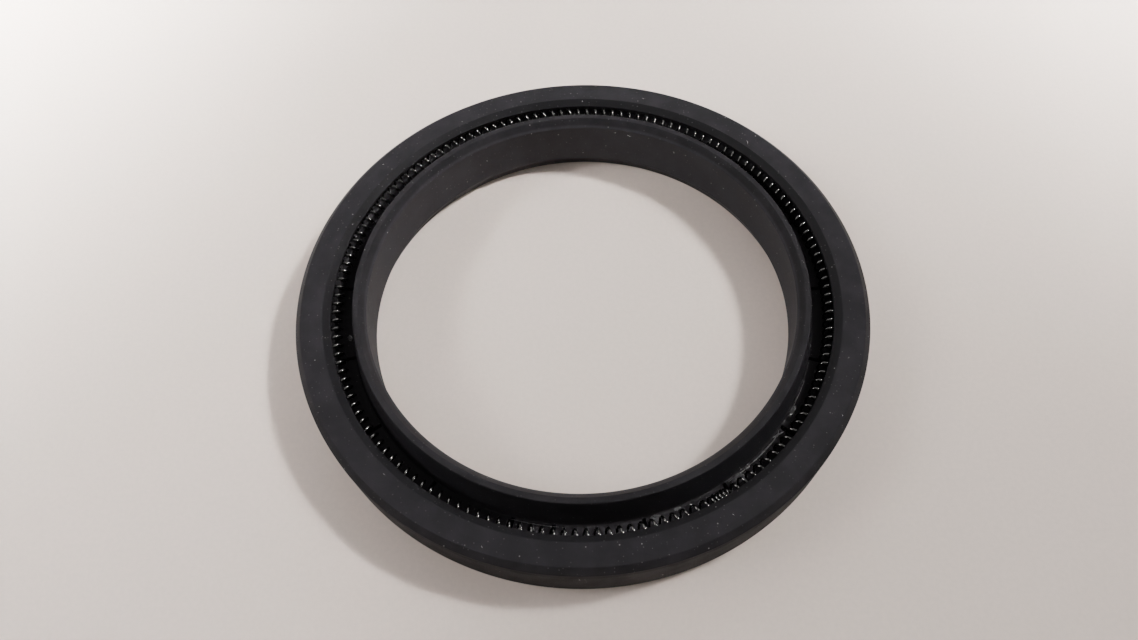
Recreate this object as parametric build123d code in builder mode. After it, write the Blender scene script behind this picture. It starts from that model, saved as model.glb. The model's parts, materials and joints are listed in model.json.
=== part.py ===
"""Radial shaft seal with an outward sealing lip and an open-wound expander spring.

The seal is a moulded rubber ring. Its tall, thin seat wall grips the shaft, and its thick
outer lip seals against the bore of the housing. A bonded L-section steel ring keeps the
seat wall round, and a coil spring in the groove presses the lip outwards.

Millimetres. +Z points out of the open groove, and the origin is the centre of the back face.
"""

import os
from math import cos, pi, radians, sin, sqrt

from build123d import *

# Seat wall: the static fit on the shaft, made of rubber, sheet steel and rubber
bore_diameter = 45.0
bore_cover = 0.35          # rubber between the shaft and the steel ring
steel_thickness = 0.6      # sheet of the steel ring
groove_cover = 0.35        # rubber between the steel ring and the groove at the wall's top
seat_swell = 0.65          # how much thicker the seat wall is at its foot
seat_lead_width = 0.7      # bevel that guides the shaft in from the front
seat_lead_height = 0.9
seat_edge_radius = 0.15    # outer edge of the wall's top
seat_foot_radius = 0.25    # where the seat wall meets the groove's floor

# Base: the rubber below the groove
back_cover = 1.0           # rubber behind the steel ring's flange
floor_cover = 2.3          # rubber between the flange and the groove's floor
back_lead_width = 0.85     # long bevel that guides the shaft in from the back
back_lead_height = 1.85
back_edge_radius = 0.3     # where that bevel meets the back face
heel_width = 0.6           # bevel that guides the seal into its housing
heel_height = 1.3

# Groove and outer lip
groove_width = 1.89        # at the floor
groove_depth = 4.1         # floor to the top of the seat wall
lip_setback = 0.85         # how far the lip's face lies below the top of the seat wall
lip_thickness = 3.66       # groove to the sealing edge
lip_root_radius = 0.5      # where the lip meets the groove's floor
mouth_bevel_width = 0.76   # bevel round the groove's mouth
mouth_bevel_height = 0.47
edge_bevel = 0.6           # bevel between the lip's face and its sealing edge
edge_land = 0.8            # width of the sealing edge
lip_relief = 0.23          # how far the lip's side draws in, from sealing edge to heel

# Steel ring inside the rubber
leg_cover = 1.3            # rubber over the end of the ring's leg
flange_reach = 1.0         # how far the flange runs out under the lip
steel_bend_radius = 0.5    # inside radius of the ring's bend

# Support slots: left in the groove's floor by the mould's blades, which hold the steel ring
slot_width = 0.4
slot_end_gap = 0.1         # floor left at each end of a slot
slots_per_half = 9
slot_spacing = 20.0        # degrees
first_half_start = 93.2    # degrees, first slot made by one half of the mould
second_half_start = 262.4  # degrees, first slot made by the other half

# Expander spring: one wire, coiled, bent into a ring and joined end to end
coil_diameter = 1.5
wire_diameter = 0.23       # drawn as a square bar with the same section area
coil_pitch = 1.04
coil_tuck = 0.48           # how far the coil sits in the lip, past the groove's wall
spring_clearance = 0.02    # between the coil and its seat in the lip
retaining_rim = 0.27       # lip left standing over the spring's seat
runs_per_turn = 8          # straight runs that make one turn
joint_angle = 300.3        # degrees, where the close-wound end stops
close_pitch = 0.41         # of the close-wound end and of the nib
close_turns = 4
nib_turns = 4              # smaller turns, screwed into the close-wound end
nib_clearance = 0.02       # between the nib and the turns around it
nib_exit_gap = 0.3         # nib that shows before it widens
taper_pitch = 0.7          # of the one turn that widens from the nib to the full coil

# Radii, from the bore outwards
bore_radius = bore_diameter / 2
steel_inner_radius = bore_radius + bore_cover
steel_outer_radius = steel_inner_radius + steel_thickness
seat_top_radius = steel_outer_radius + groove_cover
seat_foot = seat_top_radius + seat_swell
lip_inner_radius = seat_foot + groove_width
lip_radius = lip_inner_radius + lip_thickness
heel_radius = lip_radius - lip_relief
flange_radius = lip_inner_radius + flange_reach

# Heights, from the back face to the front
flange_top = back_cover + steel_thickness
floor_height = flange_top + floor_cover
seat_height = floor_height + groove_depth
leg_top = seat_height - leg_cover
lip_height = seat_height - lip_setback
mouth_height = lip_height - mouth_bevel_height
edge_height = lip_height - edge_bevel

# Seat of the spring: a round groove in the lip, below the retaining rim
wire_side = wire_diameter * sqrt(pi) / 2
coil_radius = coil_diameter / 2
spring_seat_radius = coil_radius + spring_clearance
spring_ring_radius = lip_inner_radius + coil_tuck - coil_radius
seat_half_chord = sqrt(spring_seat_radius**2 - (lip_inner_radius - spring_ring_radius) ** 2)
spring_height = mouth_height - retaining_rim - seat_half_chord


def coil_points():
    """Corners of the wire's path: nib, widening turn, open coil, easing turn, close-wound end."""
    bar_reach = wire_side / sqrt(2)
    corner_reach = bar_reach / cos(pi / runs_per_turn)
    full_radius = coil_radius - corner_reach
    inside_radius = full_radius * cos(pi / runs_per_turn) - bar_reach
    nib_radius = inside_radius - nib_clearance - corner_reach
    ease_pitch = (coil_pitch + close_pitch) / 2
    ring_length = 2 * pi * spring_ring_radius
    open_length = ring_length - nib_exit_gap - taper_pitch - ease_pitch - close_turns * close_pitch
    open_turns = round(open_length / coil_pitch)
    stretches = [
        (nib_turns, close_pitch, nib_radius, nib_radius),
        (1, taper_pitch, nib_radius, full_radius),
        (open_turns, open_length / open_turns, full_radius, full_radius),
        (1, ease_pitch, full_radius, full_radius),
        (close_turns, close_pitch, full_radius, full_radius),
    ]
    travel = nib_exit_gap - nib_turns * close_pitch
    corners = []
    for turns, pitch, start_radius, end_radius in stretches:
        runs = turns * runs_per_turn
        for run in range(runs):
            share = run / runs
            corners.append((travel + share * turns * pitch, start_radius + share * (end_radius - start_radius)))
        travel += turns * pitch
    corners.append((travel, full_radius))
    points = []
    for index, (along, radius) in enumerate(corners):
        turn = 2 * pi * index / runs_per_turn
        around = radians(joint_angle) + along / spring_ring_radius
        out = spring_ring_radius + radius * sin(turn)
        points.append((out * cos(around), out * sin(around), spring_height + radius * cos(turn)))
    return points


os.makedirs("parts", exist_ok=True)

# Section of the steel ring: a leg up the seat wall and a flange under the groove
with BuildSketch(Plane.XZ) as ring_section:
    with BuildLine():
        Polyline(
            (steel_inner_radius, back_cover),
            (flange_radius, back_cover),
            (flange_radius, flange_top),
            (steel_outer_radius, flange_top),
            (steel_outer_radius, leg_top),
            (steel_inner_radius, leg_top),
            close=True,
        )
    make_face()
    bend_outside = ring_section.vertices().sort_by_distance((steel_inner_radius, back_cover))[0]
    fillet(bend_outside, steel_bend_radius + steel_thickness)
    bend_inside = ring_section.vertices().sort_by_distance((steel_outer_radius, flange_top))[0]
    fillet(bend_inside, steel_bend_radius)

# Rubber body, moulded round the steel ring
with BuildPart() as seal_body:
    with BuildSketch(Plane.XZ) as body_section:
        with BuildLine():
            Polyline(
                (bore_radius + back_lead_width, 0),
                (bore_radius, back_lead_height),
                (bore_radius, seat_height - seat_lead_height),
                (bore_radius + seat_lead_width, seat_height),
                (seat_top_radius, seat_height),
                (seat_foot, floor_height),
                (lip_inner_radius, floor_height),
                (lip_inner_radius, mouth_height),
                (lip_inner_radius + mouth_bevel_width, lip_height),
                (lip_radius - edge_bevel, lip_height),
                (lip_radius, edge_height),
                (lip_radius, edge_height - edge_land),
                (heel_radius, heel_height),
                (heel_radius - heel_width, 0),
                close=True,
            )
        make_face()
        foot_corner = body_section.vertices().sort_by_distance((seat_foot, floor_height))[0]
        fillet(foot_corner, seat_foot_radius)
        root_corner = body_section.vertices().sort_by_distance((lip_inner_radius, floor_height))[0]
        fillet(root_corner, lip_root_radius)
        seat_edge = body_section.vertices().sort_by_distance((seat_top_radius, seat_height))[0]
        fillet(seat_edge, seat_edge_radius)
        back_edge = body_section.vertices().sort_by_distance((bore_radius + back_lead_width, 0))[0]
        fillet(back_edge, back_edge_radius)
        with Locations((spring_ring_radius, spring_height)):
            Circle(spring_seat_radius, mode=Mode.SUBTRACT)
    revolve(axis=Axis.Z)
    revolve(ring_section.sketch, axis=Axis.Z, mode=Mode.SUBTRACT)
    slot_length = groove_width - 2 * slot_end_gap
    slot_radius = seat_foot + groove_width / 2
    slot_span = slot_spacing * (slots_per_half - 1)
    with BuildSketch(Plane.XY.offset(floor_height)):
        for start in (first_half_start, second_half_start):
            with PolarLocations(slot_radius, slots_per_half, start, slot_span, endpoint=True):
                Rectangle(slot_length, slot_width)
    extrude(amount=-floor_cover, mode=Mode.SUBTRACT)
seal_body.part.label = "seal_body"
export_step(seal_body.part, "parts/seal_body.step")

# Steel ring, bonded into the rubber
with BuildPart() as stiffening_ring:
    revolve(ring_section.sketch, axis=Axis.Z)
stiffening_ring.part.label = "stiffening_ring"
export_step(stiffening_ring.part, "parts/stiffening_ring.step")

# Expander spring, seated in the lip
with BuildPart() as expander_spring:
    with BuildLine() as wire_path:
        Polyline(*coil_points())
    with BuildSketch(wire_path.line ^ 0):
        Rectangle(wire_side, wire_side)
    sweep(transition=Transition.RIGHT)
expander_spring.part.label = "expander_spring"
export_step(expander_spring.part, "parts/expander_spring.step")
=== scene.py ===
"""Dresses a radial shaft seal: its moulded rubber, its expander spring and the stage it lies on.

Sizes are in metres where nothing else is said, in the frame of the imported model: +Z points out
of the open groove, and the origin is the centre of the back face.
"""

import json
import math
import random

import bmesh
import bpy
from mathutils import Matrix, Vector


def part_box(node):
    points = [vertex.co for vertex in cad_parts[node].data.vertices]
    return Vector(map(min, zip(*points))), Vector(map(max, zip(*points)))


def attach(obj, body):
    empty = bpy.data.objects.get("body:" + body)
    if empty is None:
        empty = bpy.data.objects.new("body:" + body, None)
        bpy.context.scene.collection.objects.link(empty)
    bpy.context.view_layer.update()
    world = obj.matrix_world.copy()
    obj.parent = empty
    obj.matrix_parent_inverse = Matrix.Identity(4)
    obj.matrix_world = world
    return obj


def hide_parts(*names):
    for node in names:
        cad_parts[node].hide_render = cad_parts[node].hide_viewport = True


bl_info = {
    "name": "Shaft Seal Dressing",
    "version": (1, 0, 0),
    "blender": (4, 5, 0),
    "location": "3D View > Sidebar > Shaft Seal",
    "description": "Builds the rubber, the spring and the finishes of a radial shaft seal",
    "category": "Object",
}

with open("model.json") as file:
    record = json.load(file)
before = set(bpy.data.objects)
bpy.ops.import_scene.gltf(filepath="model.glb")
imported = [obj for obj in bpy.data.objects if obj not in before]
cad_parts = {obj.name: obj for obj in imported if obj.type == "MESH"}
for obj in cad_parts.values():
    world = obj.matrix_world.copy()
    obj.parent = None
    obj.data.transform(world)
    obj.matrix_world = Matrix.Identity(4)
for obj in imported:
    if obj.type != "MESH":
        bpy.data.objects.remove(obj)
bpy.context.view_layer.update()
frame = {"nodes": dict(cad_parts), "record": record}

MM = 0.001
TOLERANCE = 1e-9
BODY = "root"
FULL_TURN = 2 * math.pi

wall_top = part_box("seal_body")[1]
ring_low, ring_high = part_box("stiffening_ring")
coil_low, coil_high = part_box("expander_spring")
mount_sizes = {mount["name"]: mount["dims"] for mount in frame["record"]["mounts"]}


# Settings


def length(name, description, millimetres):
    """A length that a user can change, with its default in millimetres."""
    return bpy.props.FloatProperty(
        name=name,
        description=description,
        default=millimetres * MM,
        min=0,
        precision=5,
        unit="LENGTH",
    )


def angle(name, description, degrees):
    """An angle that a user can change, with its default in degrees."""
    return bpy.props.FloatProperty(
        name=name, description=description, default=math.radians(degrees), subtype="ANGLE"
    )


def share(name, description, default):
    """A share from 0 to 1."""
    return bpy.props.FloatProperty(
        name=name, description=description, default=default, min=0, max=1, subtype="FACTOR"
    )


def count(name, description, default):
    """A whole number of copies or steps."""
    return bpy.props.IntProperty(name=name, description=description, default=default, min=1)


def colour(name, description, default):
    """A linear colour."""
    return bpy.props.FloatVectorProperty(
        name=name, description=description, default=default, min=0, max=1, size=3, subtype="COLOR"
    )


def point(name, description, default):
    """A place, in metres."""
    return bpy.props.FloatVectorProperty(
        name=name, description=description, default=default, subtype="XYZ", unit="LENGTH"
    )


def group(kind, name, description):
    """A group of settings inside another."""
    return bpy.props.PointerProperty(type=kind, name=name, description=description)


class BodySettings(bpy.types.PropertyGroup):
    """Sizes of the rubber body's section and of its slots."""

    bore_radius: length(
        "Bore radius", "Half the shaft's diameter", mount_sizes["shaft_seat"]["r_mm"]
    )
    lip_radius: length("Lip radius", "From the axis to the sealing edge", wall_top.x / MM)
    wall_height: length("Wall height", "Back face to the top of the seat wall", wall_top.z / MM)
    bore_cover: length("Bore cover", "Rubber between the shaft and the steel ring", 0.35)
    steel_thickness: length("Steel thickness", "Sheet of the steel ring", 0.6)
    steel_bend: length("Steel bend", "Inside radius of the steel ring's bend", 0.5)
    groove_cover: length("Groove cover", "Rubber between the steel ring and the groove", 0.35)
    seat_swell: length("Seat swell", "How much thicker the seat wall is at its foot", 0.65)
    front_lead_width: length("Front lead width", "Bevel of the bore's front edge", 0.7)
    front_lead_height: length("Front lead height", "Bevel of the bore's front edge", 0.9)
    back_lead_width: length("Back lead width", "Long bevel of the bore's back edge", 0.85)
    back_lead_height: length("Back lead height", "Long bevel of the bore's back edge", 1.85)
    back_edge_rounding: length("Back edge rounding", "Where that bevel meets the back face", 0.3)
    heel_width: length("Heel width", "Bevel of the outer back edge", 0.6)
    heel_height: length("Heel height", "Bevel of the outer back edge", 1.3)
    groove_width: length("Groove width", "Width of the groove's floor", 1.89)
    groove_depth: length("Groove depth", "Floor to the top of the seat wall", 4.1)
    lip_setback: length("Lip setback", "Lip's face below the top of the seat wall", 0.85)
    mouth_bevel_width: length("Mouth bevel width", "Bevel round the groove's mouth", 0.76)
    mouth_bevel_height: length("Mouth bevel height", "Bevel round the groove's mouth", 0.47)
    edge_bevel: length("Edge bevel", "Bevel above the sealing edge", 0.6)
    edge_land: length("Edge land", "Width of the sealing edge", 0.8)
    lip_relief: length("Lip relief", "How far the lip's side draws in to the heel", 0.23)
    foot_rounding: length("Foot rounding", "Where the seat wall meets the floor", 0.25)
    root_rounding: length("Root rounding", "Where the lip meets the floor", 0.5)
    mould_rounding: length("Mould rounding", "Of an outer corner left by the mould", 0.12)
    edge_rounding: length("Edge rounding", "Of the sealing edge, which is trimmed", 0.07)
    rim_rounding: length("Rim rounding", "Of the rims of the spring's seat", 0.04)
    slot_width: length("Slot width", "Gap left by one blade of the mould", 0.4)
    slot_end_gap: length("Slot end gap", "Floor left at each end of a slot", 0.1)
    slots_per_half: count("Slots per half", "Blades in each half of the mould", 9)
    slot_spacing: angle("Slot spacing", "From one blade to the next", 20.0)
    first_half_start: angle("First half", "First slot of one half of the mould", 93.2)
    second_half_start: angle("Second half", "First slot of the other half", 262.4)
    station_step: angle("Station step", "Longest step of the mesh round the ring", 0.9)


class SpringSettings(bpy.types.PropertyGroup):
    """Sizes of the expander spring."""

    coil_diameter: length("Coil diameter", "Outside of the coil", (coil_high.z - coil_low.z) / MM)
    height: length(
        "Height", "Back face to the middle of the coil", (coil_high.z + coil_low.z) / 2 / MM
    )
    wire_diameter: length("Wire diameter", "Drawn steel wire", 0.23)
    pitch: length("Pitch", "Of the open coil", 1.04)
    tuck: length("Tuck", "How far the coil sits in the lip", 0.48)
    clearance: length("Clearance", "Between the coil and its seat", 0.02)
    joint_angle: angle("Joint angle", "Where the close-wound end stops", 300.3)
    close_pitch: length("Close pitch", "Of the close-wound end and the nib", 0.41)
    close_turns: count("Close turns", "Turns of the close-wound end", 4)
    nib_turns: count("Nib turns", "Smaller turns screwed into the other end", 4)
    nib_clearance: length("Nib clearance", "Between the nib and the turns around it", 0.02)
    nib_exit_gap: length("Nib exit gap", "Nib that shows before it widens", 0.3)
    taper_pitch: length("Taper pitch", "Of the turn that widens from the nib", 0.7)
    runs_per_turn: count("Runs per turn", "Steps of the mesh along one turn", 30)
    wire_sides: count("Wire sides", "Steps of the mesh round the wire", 12)


class FinishSettings(bpy.types.PropertyGroup):
    """Colours and textures of the finishes."""

    rubber: colour("Rubber", "Carbon-filled rubber", (0.0175, 0.0165, 0.0184))
    rubber_bloom: colour("Rubber bloom", "Rubber that bloomed paler", (0.0236, 0.0222, 0.0248))
    # Painted shade: the groove's mouth bevel is painted darker than the rest of the rubber
    rubber_bevel_shade: colour("Clean rubber", "On the groove's mouth bevel", (0.0115, 0.0109, 0.0122))
    # Painted shade: the lip's outer side is painted darkest
    rubber_side_shade: colour("Side rubber", "On the lip's side, the darkest", (0.0055, 0.0055, 0.0075))
    # Painted light: the bore's wall is painted lighter, mottled by the bloom
    rubber_bore_light: colour("Rubbed rubber", "On the bore's wall", (0.036, 0.0358, 0.0405))
    # Painted light: the groove's floor is painted lighter
    rubber_floor_light: colour("Dusty rubber", "Down on the groove's floor", (0.027, 0.0250, 0.0280))
    rubber_roughness: share("Rubber roughness", "Of the moulded surface", 0.56)
    grain_size: length("Grain size", "Of the mould's blasted texture", 0.13)
    grain_depth: length("Grain depth", "Of that texture", 0.012)
    mottle_size: length("Mottle size", "Of the cloudy patches in the rubber", 2.2)
    dust: colour("Dust", "Fine pale dust", (0.30, 0.30, 0.29))
    dust_spacing: length("Dust spacing", "Between neighbouring specks", 1.0)
    dust_radius: length("Dust radius", "Of the largest specks", 0.09)
    powder_spacing: length("Powder spacing", "Between specks of the finest dust", 0.45)
    powder_radius: length("Powder radius", "Of the finest dust", 0.08)
    region_softness: length("Region softness", "From one shade of rubber to the next", 0.1)
    # The film's ridges are real; their pale tint is also a painted highlight
    film_and_highlight: colour("Film", "Ridges of glossy film on the groove's floor", (0.38, 0.38, 0.385))
    # The flakes are real; their paler tint is also a painted sheen
    flake_and_sheen: colour("Flake", "Flakes of that film", (0.10, 0.099, 0.103))
    ripple_size: length("Ripple size", "Of the wrinkles in the film", 0.22)
    ripple_depth: length("Ripple depth", "Of those wrinkles", 0.03)
    wire: colour("Wire", "Drawn spring wire", (0.19, 0.188, 0.183))
    wire_dark: colour("Dark wire", "Drawing marks on the wire", (0.12, 0.1185, 0.116))
    mark_size: length("Mark size", "Of the drawing marks", 0.35)
    # Painted shade: the wire takes this dark colour deep in its seat, below the level and over the
    # fade that follow
    wire_shade: colour("Oil", "Dark oil on the wire, deep in its seat", (0.02, 0.02, 0.02))
    wire_shade_level: length("Oil level", "Back face to where the oil starts to thin out", 6.05)
    wire_shade_fade: length("Oil fade", "Height over which the oil thins out", 0.3)
    ring_steel: colour("Ring steel", "Phosphated sheet", (0.16, 0.16, 0.155))
    crystal_size: length("Crystal size", "Of the phosphate", 0.09)
    crystal_depth: length("Crystal depth", "Of the phosphate", 0.006)
    stain_size: length("Stain size", "Of the cloudy patches on the sheet", 0.8)
    lint: colour("Lint", "Pale fibres", (0.72, 0.72, 0.71))
    strand_size: length("Strand size", "Of the shades along a fibre", 0.05)
    paper: colour("Paper", "The stage's floor", (0.86, 0.738, 0.655))
    tooth_size: length("Tooth size", "Of the paper's texture", 0.5)
    tooth_depth: length("Tooth depth", "Of the paper's texture", 0.01)
    paper_cloud_size: length("Paper cloud size", "Of the paper's cloudy patches", 30)


class StageSettings(bpy.types.PropertyGroup):
    """Camera and lights."""

    eye: point("Eye", "Where the camera stands", (0, -0.05157, 0.08756))
    target: point("Target", "What the camera points at", (-0.00129, -0.00344, 0.00655))
    roll: angle("Roll", "Turn of the camera about its own axis", -3.218)
    lens: bpy.props.FloatProperty(
        name="Lens", description="Focal length in mm", default=28.72, min=1, unit="CAMERA"
    )
    floor_radius: length("Floor radius", "Half the width of the stage", 1500)
    room: colour("Room", "Light that comes from all round", (1.0, 0.985, 0.965))
    room_strength: bpy.props.FloatProperty(
        name="Room strength", description="Of the light from all round", default=0.04, min=0
    )


class SealSettings(bpy.types.PropertyGroup):
    """Everything that the dressing can be told."""

    body: group(BodySettings, "Body", "Rubber body")
    spring: group(SpringSettings, "Spring", "Expander spring")
    finish: group(FinishSettings, "Finish", "Finishes")
    stage: group(StageSettings, "Stage", "Camera and lights")


# Finishes


class Value:
    """One output of a finish's nodes. Arithmetic on it adds the Math nodes that work it out."""

    def __init__(self, finish, socket):
        self.finish = finish
        self.socket = socket

    def math(self, operation, first, second):
        return self.finish.node("Math", {"operation": operation}, {0: first, 1: second})

    def __add__(self, other):
        return self.math("ADD", self, other)

    def __radd__(self, other):
        return self.math("ADD", other, self)

    def __sub__(self, other):
        return self.math("SUBTRACT", self, other)

    def __rsub__(self, other):
        return self.math("SUBTRACT", other, self)

    def __mul__(self, other):
        return self.math("MULTIPLY", self, other)

    def __rmul__(self, other):
        return self.math("MULTIPLY", other, self)

    def rise(self, low, high):
        """0 below low and 1 above high, with a soft step between them."""
        ends = {"Value": self, "From Min": low, "From Max": high}
        return self.finish.node("MapRange", {"interpolation_type": "SMOOTHSTEP"}, ends)

    def fall(self, low, high):
        """1 below low and 0 above high, with a soft step between them."""
        return 1 - self.rise(low, high)


class Finish:
    """A material, and the nodes that vary it over a surface."""

    def __init__(self, name, constants):
        self.material = bpy.data.materials.new(name)
        self.material.use_nodes = True
        self.tree = self.material.node_tree
        self.shader = self.tree.nodes["Principled BSDF"]
        for socket, value in constants.items():
            self.shader.inputs[socket].default_value = value
        self.place = self.node("TexCoord", {}, {}, "Object")

    def node(self, kind, settings, inputs, output=0):
        """Adds a node, with its settings first and then its sockets' values or links."""
        made = self.tree.nodes.new("ShaderNode" + kind)
        for name, value in settings.items():
            setattr(made, name, value)
        for key, value in inputs.items():
            self.feed(made.inputs[key], value)
        return Value(self, made.outputs[output])

    def feed(self, socket, value):
        """Links a value to a socket, or sets it there."""
        if isinstance(value, Value):
            self.tree.links.new(value.socket, socket)
        else:
            socket.default_value = value

    def vary(self, socket, value):
        """Gives a socket of the shader a value that changes over the surface."""
        self.feed(self.shader.inputs[socket], value)

    def noise(self, size, detail=2.0, roughness=0.5):
        """Cloudy noise with features of about this size."""
        inputs = {"Vector": self.place, "Scale": 1 / size, "Detail": detail, "Roughness": roughness}
        return self.node("TexNoise", {}, inputs)

    def mix(self, factor, first, second):
        """A colour between two colours."""
        return self.node("Mix", {"data_type": "RGBA"}, {0: factor, 6: first, 7: second}, 2)

    def height(self):
        """Height above the back face."""
        return self.node("SeparateXYZ", {}, {"Vector": self.place}, 2)

    def radius(self):
        """Distance from the axis."""
        level = self.node("VectorMath", {"operation": "MULTIPLY"}, {0: self.place, 1: (1, 1, 0)})
        return self.node("VectorMath", {"operation": "LENGTH"}, {0: level}, 1)

    def bump(self, height, distance):
        """Raises the surface by up to this distance."""
        normal = self.node("Bump", {}, {"Strength": 1.0, "Distance": distance, "Height": height})
        self.vary("Normal", normal)


def opaque(linear_colour):
    """A colour with its alpha, as a shader's socket takes it."""
    return (*linear_colour, 1.0)


def specks(finish, spacing, radius, chance):
    """A mask of round specks, one in some of the cells of a random pattern."""
    cells = {"Vector": finish.place, "Scale": 1 / spacing}
    reach = finish.node("TexVoronoi", {}, cells, "Distance")
    picked = finish.node("TexVoronoi", {}, cells, "Color")
    pick = finish.node("SeparateColor", {}, {"Color": picked}, 0)
    core = 0.3 * radius
    return reach.fall(core / spacing, radius / spacing) * pick.rise(1 - chance, 1)


def rubber_finish(look, body, spring):
    """Matte moulded rubber: blasted grain, cloudy bloom and fine dust, with painted light on the
    bore's wall and the groove's floor and painted shade on the mouth bevel and the lip's side.
    """
    section = Section(body, spring)
    finish = Finish("moulded_rubber", {"IOR": 1.3, "Specular IOR Level": 0.2})
    grain = finish.noise(look.grain_size, 3.0, 0.6)
    mottle = finish.noise(look.mottle_size, 3.0, 0.55)
    bloom = mottle.rise(0.35, 0.7)
    dust = specks(finish, look.dust_spacing, look.dust_radius, 0.85)
    powder = specks(finish, look.powder_spacing, look.powder_radius, 0.9)
    radius = finish.radius()
    height = finish.height()
    soft = look.region_softness

    # Painted light: mask of the bore's wall, which is painted lighter
    bore_light = radius.fall(body.bore_radius + soft, body.bore_radius + 3 * soft)
    # Painted light: mask of the groove's floor, which is painted lighter
    floor_light = height.fall(section.floor + soft, section.floor + 8 * soft)
    floor_light = floor_light * radius.rise(section.seat_top, section.seat_top + soft)
    floor_light = floor_light * radius.fall(section.lip_inner - 8 * soft, section.lip_inner - 4 * soft)
    bevel_end = section.lip_inner + body.mouth_bevel_width
    # Painted shade: mask of the groove's mouth bevel, which is painted darker
    shade_split = height.rise(section.mouth - 2 * soft, section.mouth - soft)
    shade_split = shade_split * radius.rise(section.lip_inner - soft, section.lip_inner)
    shade_split = shade_split * radius.fall(bevel_end - soft, bevel_end + soft)
    # Painted shade: mask of the lip's side, which is painted darkest
    side_start = section.heel - body.heel_width
    side_top = section.lip_face - body.edge_bevel
    side = radius.rise(side_start - soft, side_start)
    side = side * height.fall(side_top - soft, side_top + soft)

    base = finish.mix(bloom, opaque(look.rubber), opaque(look.rubber_bloom))
    # Painted shade on the mouth bevel
    base = finish.mix(shade_split, base, opaque(look.rubber_bevel_shade))
    # Painted shade on the lip's side
    base = finish.mix(side, base, opaque(look.rubber_side_shade))
    # Painted light on the bore's wall, mottled by the bloom
    base = finish.mix(bore_light * (0.7 + bloom * 0.3), base, opaque(look.rubber_bore_light))
    # Painted light on the groove's floor
    base = finish.mix(floor_light, base, opaque(look.rubber_floor_light))
    dusted = finish.mix(dust * 0.8 + powder * grain * 0.45, base, opaque(look.dust))
    finish.vary("Base Color", dusted)
    finish.vary("Roughness", look.rubber_roughness - 0.05 + bloom * 0.06 + grain * 0.08)
    finish.bump(grain * 0.75 + mottle * 0.25, look.grain_depth)
    return finish.material


def film_finish(name, look, highlight_tint):
    """A thin, glossy skin of rubber and release wax, with a pale tint that is partly a painted
    highlight.
    """
    finish = Finish(name, {"IOR": 1.5, "Coat Roughness": 0.12})
    ripple = finish.noise(look.ripple_size)
    # The tint mixed in here is a painted highlight on the ridges and a painted sheen on the flakes
    finish.vary("Base Color", finish.mix(ripple, opaque(look.rubber), opaque(highlight_tint)))
    finish.vary("Roughness", 0.2 + ripple * 0.2)
    finish.vary("Coat Weight", 0.3 + ripple.rise(0.35, 0.6) * 0.7)
    finish.bump(ripple, look.ripple_depth)
    return finish.material


def wire_finish(look):
    """Drawn wire with painted shade: dark deep in its seat, and bright only near the top of each
    turn.
    """
    finish = Finish("spring_wire", {"Metallic": 1.0})
    # Painted shade: this mask is 0 deep in the seat, where the wire is painted dark, and 1 above,
    # where it stays bright
    shade_split = finish.height().rise(look.wire_shade_level, look.wire_shade_level + look.wire_shade_fade)
    marks = finish.noise(look.mark_size, 3.0, 0.6).rise(0.4, 0.7)
    bright = finish.mix(marks * 0.4, opaque(look.wire), opaque(look.wire_dark))
    # Painted shade on the wire deep in its seat
    finish.vary("Base Color", finish.mix(shade_split, opaque(look.wire_shade), bright))
    finish.vary("Roughness", 0.26 + marks * 0.04 - shade_split * 0.1)
    return finish.material


def ring_finish(look):
    """Phosphated sheet steel: fine crystals on a dull metal."""
    finish = Finish("phosphated_steel", {"Metallic": 1.0})
    cells = {"Vector": finish.place, "Scale": 1 / look.crystal_size}
    crystals = finish.node("TexVoronoi", {}, cells, "Distance")
    stain = finish.noise(look.stain_size)
    dull = tuple(0.6 * channel for channel in look.ring_steel)
    pale = stain * 0.6 + crystals * 0.4
    finish.vary("Base Color", finish.mix(pale, opaque(dull), opaque(look.ring_steel)))
    finish.vary("Roughness", 0.5 + crystals * 0.2)
    finish.bump(crystals, look.crystal_depth)
    return finish.material


def lint_finish(look):
    """Pale, dry fibres."""
    finish = Finish("pale_lint", {"IOR": 1.45})
    strands = finish.noise(look.strand_size)
    dull = tuple(0.6 * channel for channel in look.lint)
    finish.vary("Base Color", finish.mix(strands, opaque(dull), opaque(look.lint)))
    finish.vary("Roughness", 0.8 + strands * 0.15)
    return finish.material


def paper_finish(look):
    """Plain pale paper with a faint tooth."""
    finish = Finish("plain_paper", {"IOR": 1.4})
    tooth = finish.noise(look.tooth_size, 3.0, 0.6)
    cloud = finish.noise(look.paper_cloud_size)
    shade = tuple(0.93 * channel for channel in look.paper)
    pale = tooth.rise(0.3, 0.7) * 0.6 + cloud * 0.4
    finish.vary("Base Color", finish.mix(pale, opaque(shade), opaque(look.paper)))
    finish.vary("Roughness", 0.85 + tooth * 0.1)
    finish.bump(tooth, look.tooth_depth)
    return finish.material


# Shapes


def add_piece(name, vertices, faces, material):
    """Puts a smooth-shaded mesh with this material into the scene."""
    if not faces:
        raise RuntimeError(f"{name} came out with no faces: its settings leave no room for it")
    mesh = bpy.data.meshes.new(name)
    mesh.from_pydata(vertices, [], faces)
    mesh.shade_smooth()
    mesh.materials.append(material)
    piece = bpy.data.objects.new(name, mesh)
    bpy.context.scene.collection.objects.link(piece)
    return piece


def turn_outwards(mesh):
    """Makes every face of a closed mesh look away from its inside."""
    shell = bmesh.new()
    shell.from_mesh(mesh)
    bmesh.ops.recalc_face_normals(shell, faces=shell.faces)
    is_closed = all(edge.is_manifold for edge in shell.edges)
    shell.to_mesh(mesh)
    shell.free()
    if not is_closed:
        raise RuntimeError(f"{mesh.name} isn't closed: its settings make its outline cross itself")


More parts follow.
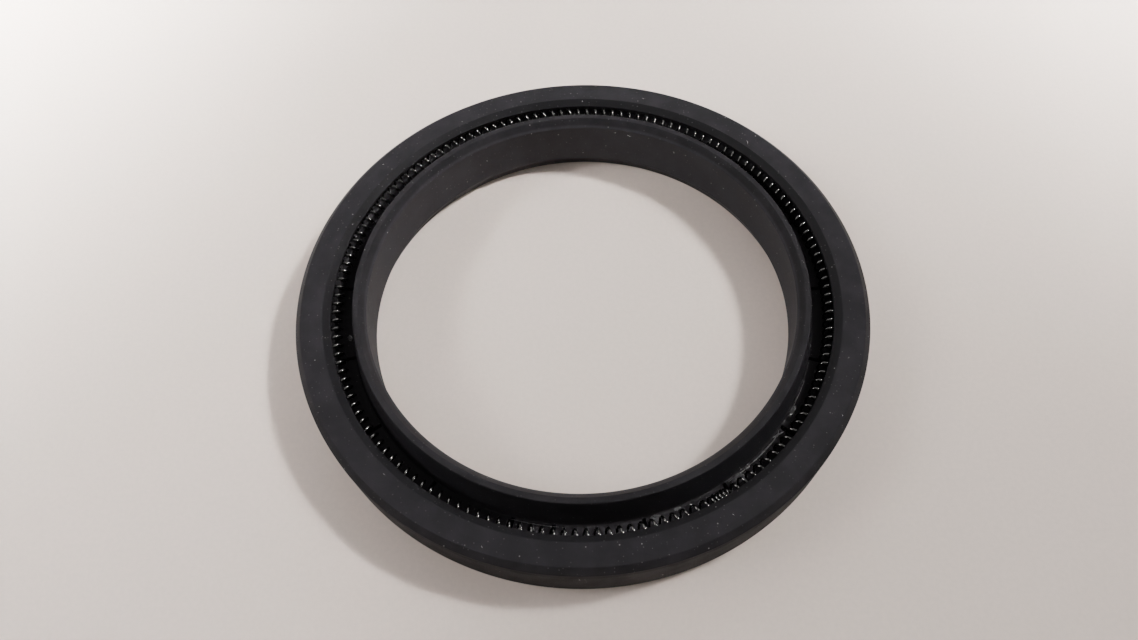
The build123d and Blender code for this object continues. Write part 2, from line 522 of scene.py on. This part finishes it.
def rounded(corners, steps=5):
    """Points of a closed outline, from its corners as (radius, height, rounding)."""
    points = []
    for index, (radius, height, rounding) in enumerate(corners):
        corner = Vector((radius, height))
        if not rounding:
            points.append(corner)
            continue
        before = (Vector(corners[index - 1][:2]) - corner).normalized()
        after = (Vector(corners[(index + 1) % len(corners)][:2]) - corner).normalized()
        half_angle = before.angle(after) / 2
        centre = corner + (before + after).normalized() * rounding / math.sin(half_angle)
        start = corner + before * rounding / math.tan(half_angle) - centre
        end = corner + after * rounding / math.tan(half_angle) - centre
        for step in range(steps + 1):
            points.append(centre + start.slerp(end, step / steps) * rounding)
    return points


def cut_at(points, radius, height, reach):
    """Adds a point at this radius to an outline, where that lies within reach of a height."""
    for index in range(len(points) - 1):
        start, end = points[index : index + 2]
        level = max(abs(start.y - height), abs(end.y - height)) < reach
        if level and start.x < radius < end.x:
            points.insert(index + 1, start.lerp(end, (radius - start.x) / (end.x - start.x)))
            return


def nearest(points, place):
    """Index of the point nearest to a place."""
    return min(range(len(points)), key=lambda index: (points[index] - place).length)


def loft(rings):
    """Vertices and faces of a closed skin over a row of closed rings, each with as many points."""
    size = len(rings[0])
    vertices = [point for ring in rings for point in ring]
    faces = [tuple(reversed(range(size))), tuple(range(len(vertices) - size, len(vertices)))]
    for row in range(len(rings) - 1):
        for step in range(size):
            near, far = row * size + step, row * size + (step + 1) % size
            faces.append((near, far, far + size, near + size))
    return vertices, faces


def joined(parts):
    """Vertices and faces of several skins as one."""
    vertices, faces = [], []
    for part_vertices, part_faces in parts:
        start = len(vertices)
        vertices += part_vertices
        faces += [tuple(start + index for index in face) for face in part_faces]
    return vertices, faces


def around(angle_round, radius, height):
    """A point at an angle round the axis."""
    return Vector((radius * math.cos(angle_round), radius * math.sin(angle_round), height))


# The seal's own sizes, worked out from its settings


class Section:
    """Radii and heights of the seal's section."""

    def __init__(self, body, spring):
        self.steel_inner = body.bore_radius + body.bore_cover
        self.steel_outer = self.steel_inner + body.steel_thickness
        self.seat_top = self.steel_outer + body.groove_cover
        self.seat_foot = self.seat_top + body.seat_swell
        self.lip_inner = self.seat_foot + body.groove_width
        self.heel = body.lip_radius - body.lip_relief
        self.floor = body.wall_height - body.groove_depth
        self.lip_face = body.wall_height - body.lip_setback
        self.mouth = self.lip_face - body.mouth_bevel_height
        self.spring_ring = self.lip_inner + spring.tuck - spring.coil_diameter / 2
        self.spring_seat = spring.coil_diameter / 2 + spring.clearance


def body_outline(body, spring):
    """Outline of the rubber in section, from the back of the bore to the heel."""
    section = Section(body, spring)
    seat_angle = math.acos((section.lip_inner - section.spring_ring) / section.spring_seat)
    seat_steps = 14
    seat = []
    for step in range(seat_steps + 1):
        turn = seat_angle * (2 * step / seat_steps - 1)
        rounding = body.rim_rounding if step in (0, seat_steps) else 0
        across = section.spring_ring + section.spring_seat * math.cos(turn)
        seat.append((across, spring.height + section.spring_seat * math.sin(turn), rounding))
    mould = body.mould_rounding
    edge = section.lip_face - body.edge_bevel
    corners = [
        (body.bore_radius + body.back_lead_width, 0, body.back_edge_rounding),
        (body.bore_radius, body.back_lead_height, mould),
        (body.bore_radius, body.wall_height - body.front_lead_height, mould),
        (body.bore_radius + body.front_lead_width, body.wall_height, mould),
        (section.seat_top, body.wall_height, mould),
        (section.seat_foot, section.floor, body.foot_rounding),
        (section.lip_inner, section.floor, body.root_rounding),
        *seat,
        (section.lip_inner, section.mouth, mould / 2),
        (section.lip_inner + body.mouth_bevel_width, section.lip_face, mould),
        (body.lip_radius - body.edge_bevel, section.lip_face, mould),
        (body.lip_radius, edge, body.edge_rounding),
        (body.lip_radius, edge - body.edge_land, mould),
        (section.heel, body.heel_height, mould),
        (section.heel - body.heel_width, 0, mould),
    ]
    return rounded(corners)


def cavity_outline(body, spring, slot_radii):
    """Outline of the room that the steel ring fills, with a point at each of a slot's radii."""
    section = Section(body, spring)
    flange_top = ring_low.z + body.steel_thickness
    corners = [
        (section.steel_inner, ring_low.z, body.steel_bend + body.steel_thickness),
        (ring_high.x, ring_low.z, 0),
        (ring_high.x, flange_top, 0),
        *[(radius, flange_top, 0) for radius in reversed(slot_radii)],
        (section.steel_outer, flange_top, body.steel_bend),
        (section.steel_outer, ring_high.z, 0),
        (section.steel_inner, ring_high.z, 0),
    ]
    return rounded(corners)


def stations(body, middle_radius):
    """Angles round the ring, and which of them open a slot that the next one closes."""
    half_slot = body.slot_width / 2 / middle_radius
    slots = sorted(
        (start + body.slot_spacing * index) % FULL_TURN
        for start in (body.first_half_start, body.second_half_start)
        for index in range(body.slots_per_half)
    )
    angles, openings = [], []
    for slot, following in zip(slots, [*slots[1:], slots[0] + FULL_TURN]):
        openings.append(len(angles))
        angles.append(slot - half_slot)
        gap = following - slot - 2 * half_slot
        steps = math.ceil(gap / body.station_step)
        angles += [slot + half_slot + gap * step / steps for step in range(steps)]
    return angles, openings


def body_mesh(body, spring):
    """The rubber as one closed skin: its outside, the steel ring's room and the slots."""
    section = Section(body, spring)
    outline = body_outline(body, spring)
    slot_start = section.seat_foot + body.slot_end_gap
    slot_end = section.lip_inner - body.slot_end_gap
    for radius in (slot_start, slot_end):
        cut_at(outline, radius, section.floor, body.root_rounding)
    floor_row = [
        index
        for index, point in enumerate(outline)
        if abs(point.y - section.floor) < body.root_rounding
        and slot_start - TOLERANCE < point.x < slot_end + TOLERANCE
    ]
    slot_radii = [outline[index].x for index in floor_row]
    cavity = cavity_outline(body, spring, slot_radii)
    flange_top = ring_low.z + body.steel_thickness
    flange_row = [nearest(cavity, Vector((radius, flange_top))) for radius in slot_radii]
    angles, openings = stations(body, (slot_start + slot_end) / 2)
    vertices, faces = [], []
    for points in (outline, cavity):
        first = len(vertices)
        vertices += [around(turn, point.x, point.y) for turn in angles for point in points]
        open_cells = set(zip(flange_row[1:], flange_row))
        if points is outline:
            open_cells = set(zip(floor_row, floor_row[1:]))
        for station in range(len(angles)):
            here = first + station * len(points)
            there = first + (station + 1) % len(angles) * len(points)
            for index in range(len(points)):
                following = (index + 1) % len(points)
                if station in openings and (index, following) in open_cells:
                    continue
                faces.append((here + index, here + following, there + following, there + index))
    cavity_start = len(angles) * len(outline)
    for station in openings:
        sides = (station, station + 1)
        floor = [[side * len(outline) + index for index in floor_row] for side in sides]
        flange = [
            [cavity_start + side * len(cavity) + index for index in flange_row] for side in sides
        ]
        for top, bottom in zip(floor, flange):
            for step in range(len(top) - 1):
                faces.append((top[step], top[step + 1], bottom[step + 1], bottom[step]))
        for end in (0, -1):
            faces.append((floor[0][end], floor[1][end], flange[1][end], flange[0][end]))
    return vertices, faces


def coil_rings(body, spring):
    """Rings round the wire: nib, widening turn, open coil, easing turn and close-wound end."""
    section = Section(body, spring)
    wire_radius = spring.wire_diameter / 2
    full_radius = spring.coil_diameter / 2 - wire_radius
    nib_radius = full_radius - spring.wire_diameter - spring.nib_clearance
    ease_pitch = (spring.pitch + spring.close_pitch) / 2
    close_length = spring.close_turns * spring.close_pitch
    end_length = spring.nib_exit_gap + spring.taper_pitch + ease_pitch + close_length
    open_length = FULL_TURN * section.spring_ring - end_length
    open_turns = round(open_length / spring.pitch)
    if open_turns < 1:
        raise RuntimeError("The spring's ends leave no room for its open coil")
    stretches = [
        (spring.nib_turns, spring.close_pitch, nib_radius, nib_radius),
        (1, spring.taper_pitch, nib_radius, full_radius),
        (open_turns, open_length / open_turns, full_radius, full_radius),
        (1, ease_pitch, full_radius, full_radius),
        (spring.close_turns, spring.close_pitch, full_radius, full_radius),
    ]
    path = []
    travel = spring.nib_exit_gap - spring.nib_turns * spring.close_pitch
    for turns, pitch, start_radius, end_radius in stretches:
        runs = turns * spring.runs_per_turn
        for run in range(runs):
            done = run / runs
            radius = start_radius + done * (end_radius - start_radius)
            path.append((travel + done * turns * pitch, radius))
        travel += turns * pitch
    path.append((travel, full_radius))
    points, middles = [], []
    for index, (along, radius) in enumerate(path):
        turn = FULL_TURN * index / spring.runs_per_turn
        place = spring.joint_angle + along / section.spring_ring
        middles.append(around(place, section.spring_ring, spring.height))
        across, up = radius * math.sin(turn), radius * math.cos(turn)
        points.append(around(place, section.spring_ring + across, spring.height + up))
    rings = []
    for index, (point, middle) in enumerate(zip(points, middles)):
        ahead = points[min(index + 1, len(points) - 1)] - points[max(index - 1, 0)]
        ahead.normalize()
        outward = point - middle
        outward = (outward - outward.project(ahead)).normalized()
        sideways = ahead.cross(outward)
        ring = []
        for step in range(spring.wire_sides):
            turn = FULL_TURN * step / spring.wire_sides
            spoke = outward * math.cos(turn) + sideways * math.sin(turn)
            ring.append(point + wire_radius * spoke)
        rings.append(ring)
    return rings


# What lies on the rubber. Angles are in degrees and lengths in millimetres.

# Ridges of film on the groove's floor: start and end angle, radius at each, width
FILM_RIDGES = (
    (303.4, 311.0, 24.70, 24.74, 0.08),
    (310.8, 320.2, 24.76, 24.80, 0.16),
    (318.8, 321.8, 24.55, 25.10, 0.20),
    (319.6, 321.4, 24.90, 24.60, 0.14),
    (252.8, 263.6, 24.76, 24.72, 0.08),
    (329.0, 336.0, 24.64, 24.68, 0.06),
)

# Flakes of film on the floor: angle, radius, length round the ring, width
FILM_FLAKES = (
    (306.0, 25.00, 1.50, 1.00),
    (309.2, 24.70, 0.70, 0.45),
    (327.4, 24.74, 1.60, 0.60),
    (285.0, 24.84, 1.30, 1.00),
    (290.2, 24.60, 0.80, 0.45),
    (274.0, 24.78, 0.20, 0.16),
    (276.2, 24.88, 0.26, 0.34),
    (293.3, 24.75, 0.24, 0.20),
    (258.2, 25.26, 0.18, 0.30),
    (187.4, 24.95, 0.90, 0.60),
    (345.9, 24.56, 0.40, 0.20),
)

# Section of a flake, from its outline inwards: share of the outline's size, height
FLAKE_SECTION = ((1.0, 0.0), (0.96, 0.03), (0.8, 0.05), (0.5, 0.06), (0.2, 0.05))

# Lint on the lip's face: angle, radius, length, lean
FACE_LINT = (
    (44.2, 27.69, 0.52, 52),
    (72.8, 28.00, 0.16, 10),
    (226.4, 27.62, 0.20, 95),
    (297.9, 28.23, 0.16, 20),
    (141.2, 28.60, 0.14, 70),
    (328.0, 29.20, 0.18, 110),
    (250.5, 28.90, 0.22, 40),
)

# Lint on the bore's wall: angle, height, length, lean
BORE_LINT = (
    (73.7, 6.40, 0.50, 65),
    (59.3, 5.78, 0.26, 30),
    (77.9, 6.62, 0.22, 120),
    (118.0, 4.90, 0.18, 15),
)

# Lint on the lip's side: angle, height, length, lean
SIDE_LINT = (
    (268.2, 5.42, 0.24, 25),
    (283.0, 3.10, 0.18, 70),
)

FIBRE_THICKNESS = 0.035
FILM_SEED = 5
LINT_SEED = 8


def film_ridge(draw, start, end, start_radius, end_radius, width, floor):
    """A low, wavering ridge that thins out to nothing at both ends."""
    steps = max(8, round((end - start) * 4))
    arch_steps = 6
    rings = []
    for step in range(steps + 1):
        done = step / steps
        body = 0.15 + 0.85 * math.sin(math.pi * done) ** 0.5 * draw.uniform(0.75, 1.0)
        radius = start_radius + (end_radius - start_radius) * done
        middle = (radius + draw.uniform(-0.02, 0.02)) * MM
        turn = math.radians(start + (end - start) * done)
        ring = []
        for arch in range(arch_steps + 1):
            lean = math.pi * arch / arch_steps
            across = width / 2 * MM * body * math.cos(lean)
            rise = 0.45 * width * MM * body * math.sin(lean)
            ring.append(around(turn, middle + across, floor + rise))
        rings.append(ring)
    return loft(rings)


def film_flake(draw, place, radius, length_round, width, floor):
    """A thin, torn flake with a ragged outline and a wrinkled top."""
    sides = 18
    turn = math.radians(place)
    out = around(turn, 1, 0)
    along = around(turn + math.pi / 2, 1, 0)
    up = Vector((0, 0, 1))
    middle = around(turn, radius * MM, floor)
    ragged = [draw.uniform(0.7, 1.0) for _ in range(sides)]
    rings = []
    for reach, rise in FLAKE_SECTION:
        ring = []
        for side in range(sides):
            lean = FULL_TURN * side / sides
            spread = reach * ragged[side] / 2 * MM
            height = rise * draw.uniform(0.7, 1.2) * MM
            flat = along * (length_round * math.cos(lean)) + out * (width * math.sin(lean))
            ring.append(middle + flat * spread + up * height)
        rings.append(ring)
    return loft(rings)


def lint_fibre(draw, foot, normal, along, long, lean):
    """A short curled fibre that lies on a surface."""
    thickness = FIBRE_THICKNESS * MM
    side = normal.cross(along)
    direction = along * math.cos(math.radians(lean)) + side * math.sin(math.radians(lean))
    across = normal.cross(direction)
    bow = draw.uniform(-0.15, 0.15) * long
    steps, sides = 8, 6
    rings = []
    for step in range(steps + 1):
        done = step / steps - 0.5
        point = foot + direction * (done * long) + across * (bow * (0.25 - done * done) * 4)
        width = thickness / 2 * (1 - 1.2 * abs(done))
        ring = []
        for corner in range(sides):
            turn = FULL_TURN * corner / sides
            lift = thickness / 2 + width * math.sin(turn)
            ring.append(point + across * (width * math.cos(turn)) + normal * lift)
        rings.append(ring)
    return loft(rings)


# The stage's lights. Lengths are in metres, angles in degrees and powers in watts.

LIGHT_TINT = (1.0, 0.985, 0.975)

# Softboxes that point at the seal: angle round it, height as an angle, distance, width and
# height of the box, power
SOFTBOXES = (
    ("right_softbox", 13, 53, 1.2, 0.36, 0.18, 2.9),
    ("front_right_softbox", 335, 50, 1.0, 0.70, 0.45, 0.8),
    ("left_softbox", 186, 38, 1.2, 0.60, 0.36, 4.8),
    ("front_softbox", 270, 55, 0.8, 0.50, 0.30, 0.5),
    ("back_softbox", 105, 38, 0.8, 0.90, 0.40, 1.9),
    ("back_right_softbox", 60, 46, 0.8, 0.70, 0.40, 0.4),
    ("low_back_softbox", 125, 17, 0.8, 0.70, 0.24, 1.0),
)

# Lamps behind grids, whose narrow beams land beside the seal: angle round it, height as an
# angle, where the beam lands, power
BEAMS = (
    (12, 54, (-0.11, 0.06, 0), 0.085),
    (12, 54, (0.06, 0.11, 0), 0.120),
    (12, 54, (0.12, 0.06, 0), 0.080),
    (12, 54, (0, -0.10, 0), 0.030),
    (12, 54, (-0.11, -0.02, 0), 0.045),
    (186, 38, (-0.11, 0.06, 0), 0.085),
    (90, 70, (-0.15, 0.11, 0), 1.7),
    (90, 70, (0.15, 0.11, 0), 0.9),
)
BEAM_SPREAD = 12
BEAM_REACH = 1.0
BEAM_LAMP = 0.1

FLOOR_SIDES = 64

# Width of the camera's sensor, in millimetres
SENSOR_WIDTH = 36


# Operators

# Angle between two faces, in degrees, past which their edge looks sharp
BODY_CREASE = 50
WIRE_CREASE = 60


class SEAL_OT_rubber_body(bpy.types.Operator):
    """Mould the rubber body and give it its matte finish"""

    bl_idname = "seal.rubber_body"
    bl_label = "Rubber Body"

    def execute(self, context):
        settings = context.scene.shaft_seal
        vertices, faces = body_mesh(settings.body, settings.spring)
        rubber = rubber_finish(settings.finish, settings.body, settings.spring)
        piece = add_piece("rubber_body", vertices, faces, rubber)
        turn_outwards(piece.data)
        piece.data.set_sharp_from_angle(angle=math.radians(BODY_CREASE))
        even = piece.modifiers.new("even_shading", "WEIGHTED_NORMAL")
        even.keep_sharp = True
        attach(piece, BODY)
        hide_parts("seal_body")
        return {"FINISHED"}


class SEAL_OT_steel_ring(bpy.types.Operator):
    """Give the steel ring, which shows only through the slots, its phosphated finish"""

    bl_idname = "seal.steel_ring"
    bl_label = "Steel Ring"

    def execute(self, context):
        ring = frame["nodes"].get("stiffening_ring")
        if ring is None:
            raise RuntimeError("The frame holds no stiffening_ring")
        ring.data.materials.clear()
        ring.data.materials.append(ring_finish(context.scene.shaft_seal.finish))
        return {"FINISHED"}


class SEAL_OT_expander_spring(bpy.types.Operator):
    """Wind the expander spring from round wire"""

    bl_idname = "seal.expander_spring"
    bl_label = "Expander Spring"

    def execute(self, context):
        settings = context.scene.shaft_seal
        vertices, faces = loft(coil_rings(settings.body, settings.spring))
        piece = add_piece("wound_spring", vertices, faces, wire_finish(settings.finish))
        turn_outwards(piece.data)
        piece.data.set_sharp_from_angle(angle=math.radians(WIRE_CREASE))
        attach(piece, BODY)
        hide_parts("expander_spring")
        return {"FINISHED"}


class SEAL_OT_groove_film(bpy.types.Operator):
    """Leave the shreds of glossy film on the groove's floor"""

    bl_idname = "seal.groove_film"
    bl_label = "Groove Film"

    def execute(self, context):
        settings = context.scene.shaft_seal
        floor = Section(settings.body, settings.spring).floor
        look = settings.finish
        draw = random.Random(FILM_SEED)
        ridges = joined([film_ridge(draw, *ridge, floor) for ridge in FILM_RIDGES])
        flakes = joined([film_flake(draw, *flake_and_sheen, floor) for flake_and_sheen in FILM_FLAKES])
        # Each skin's tint is partly painted light: a highlight on the ridges, a sheen on the flakes
        skins = (("film_ridges", ridges, look.film_and_highlight), ("film_flakes", flakes, look.flake_and_sheen))
        for name, skin, highlight_tint in skins:
            piece = add_piece(name, *skin, film_finish(name, look, highlight_tint))
            turn_outwards(piece.data)
            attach(piece, BODY)
        return {"FINISHED"}


class SEAL_OT_lint(bpy.types.Operator):
    """Lay a few pale fibres on the rubber"""

    bl_idname = "seal.lint"
    bl_label = "Lint"

    def execute(self, context):
        settings = context.scene.shaft_seal
        body = settings.body
        section = Section(body, settings.spring)
        draw = random.Random(LINT_SEED)
        up = Vector((0, 0, 1))
        parts = []
        for place, radius, long, lean in FACE_LINT:
            turn = math.radians(place)
            foot = around(turn, radius * MM, section.lip_face)
            parts.append(lint_fibre(draw, foot, up, around(turn, 1, 0), long * MM, lean))
        for place, height, long, lean in BORE_LINT:
            turn = math.radians(place)
            foot = around(turn, body.bore_radius, height * MM)
            parts.append(lint_fibre(draw, foot, -around(turn, 1, 0), up, long * MM, lean))
        for place, height, long, lean in SIDE_LINT:
            turn = math.radians(place)
            land = section.lip_face - body.edge_bevel - body.edge_land
            slope = body.lip_relief / (land - body.heel_height)
            foot = around(turn, body.lip_radius - slope * max(0, land - height * MM), height * MM)
            parts.append(lint_fibre(draw, foot, around(turn, 1, 0), up, long * MM, lean))
        piece = add_piece("pale_lint", *joined(parts), lint_finish(settings.finish))
        turn_outwards(piece.data)
        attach(piece, BODY)
        return {"FINISHED"}


def overhead(turn, rise, reach):
    """A place over the floor: its angle round the seal, its height as an angle and its reach."""
    level, up = reach * math.cos(math.radians(rise)), reach * math.sin(math.radians(rise))
    return around(math.radians(turn), level, up)


def add_light(name, place, aim, width, height, power, spread=180):
    """A soft rectangular light, with a grid in front of it where its beam is to be narrow."""
    light = bpy.data.lights.new(name, "AREA")
    light.shape = "RECTANGLE"
    light.size = width
    light.size_y = height
    light.energy = power
    light.spread = math.radians(spread)
    light.color = LIGHT_TINT
    lamp = bpy.data.objects.new(name, light)
    lamp.location = place
    lamp.rotation_euler = (Vector(aim) - Vector(place)).to_track_quat("-Z", "Y").to_euler()
    lamp.visible_camera = False
    bpy.context.scene.collection.objects.link(lamp)


class SEAL_OT_stage(bpy.types.Operator):
    """Set the floor, the lights and the camera"""

    bl_idname = "seal.stage"
    bl_label = "Stage"

    def execute(self, context):
        settings = context.scene.shaft_seal
        stage = settings.stage
        sides = range(FLOOR_SIDES)
        corners = [around(FULL_TURN * side / FLOOR_SIDES, stage.floor_radius, 0) for side in sides]
        floor = add_piece("floor", corners, [tuple(sides)], paper_finish(settings.finish))
        world = bpy.data.worlds.new("room")
        world.use_nodes = True
        background = world.node_tree.nodes["Background"]
        background.inputs["Color"].default_value = opaque(stage.room)
        background.inputs["Strength"].default_value = stage.room_strength
        context.scene.world = world
        for name, turn, rise, reach, width, height, power in SOFTBOXES:
            add_light(name, overhead(turn, rise, reach), (0, 0, 0), width, height, power)
        for index, (turn, rise, aim, power) in enumerate(BEAMS):
            lamp = overhead(turn, rise, BEAM_REACH)
            add_light(f"beam_{index}", lamp, aim, BEAM_LAMP, BEAM_LAMP, power, spread=BEAM_SPREAD)
        lens = bpy.data.cameras.new("camera")
        lens.lens = stage.lens
        lens.sensor_width = SENSOR_WIDTH
        lens.clip_start = 1 * MM
        camera = bpy.data.objects.new("camera", lens)
        aim = (Vector(stage.target) - Vector(stage.eye)).to_track_quat("-Z", "Y")
        roll = Matrix.Rotation(stage.roll, 4, "Z")
        camera.matrix_world = Matrix.Translation(stage.eye) @ aim.to_matrix().to_4x4() @ roll
        context.scene.collection.objects.link(camera)
        context.scene.camera = camera
        return {"FINISHED"}


OPERATORS = (
    SEAL_OT_rubber_body,
    SEAL_OT_steel_ring,
    SEAL_OT_expander_spring,
    SEAL_OT_groove_film,
    SEAL_OT_lint,
    SEAL_OT_stage,
)


class SEAL_PT_dressing(bpy.types.Panel):
    """Lists the steps of the dressing"""

    bl_idname = "SEAL_PT_dressing"
    bl_label = "Shaft Seal"
    bl_space_type = "VIEW_3D"
    bl_region_type = "UI"
    bl_category = "Shaft Seal"

    def draw(self, context):
        for operator in OPERATORS:
            self.layout.operator(operator.bl_idname)


CLASSES = (
    BodySettings,
    SpringSettings,
    FinishSettings,
    StageSettings,
    SealSettings,
    *OPERATORS,
    SEAL_PT_dressing,
)


def register():
    for each in CLASSES:
        bpy.utils.register_class(each)
    bpy.types.Scene.shaft_seal = bpy.props.PointerProperty(type=SealSettings)


def unregister():
    del bpy.types.Scene.shaft_seal
    for each in reversed(CLASSES):
        bpy.utils.unregister_class(each)


def main():
    """Dresses the seal."""
    register()
    bpy.ops.seal.rubber_body()
    bpy.ops.seal.steel_ring()
    bpy.ops.seal.expander_spring()
    bpy.ops.seal.groove_film()
    bpy.ops.seal.lint()
    bpy.ops.seal.stage()


if __name__ == "__main__":
    main()
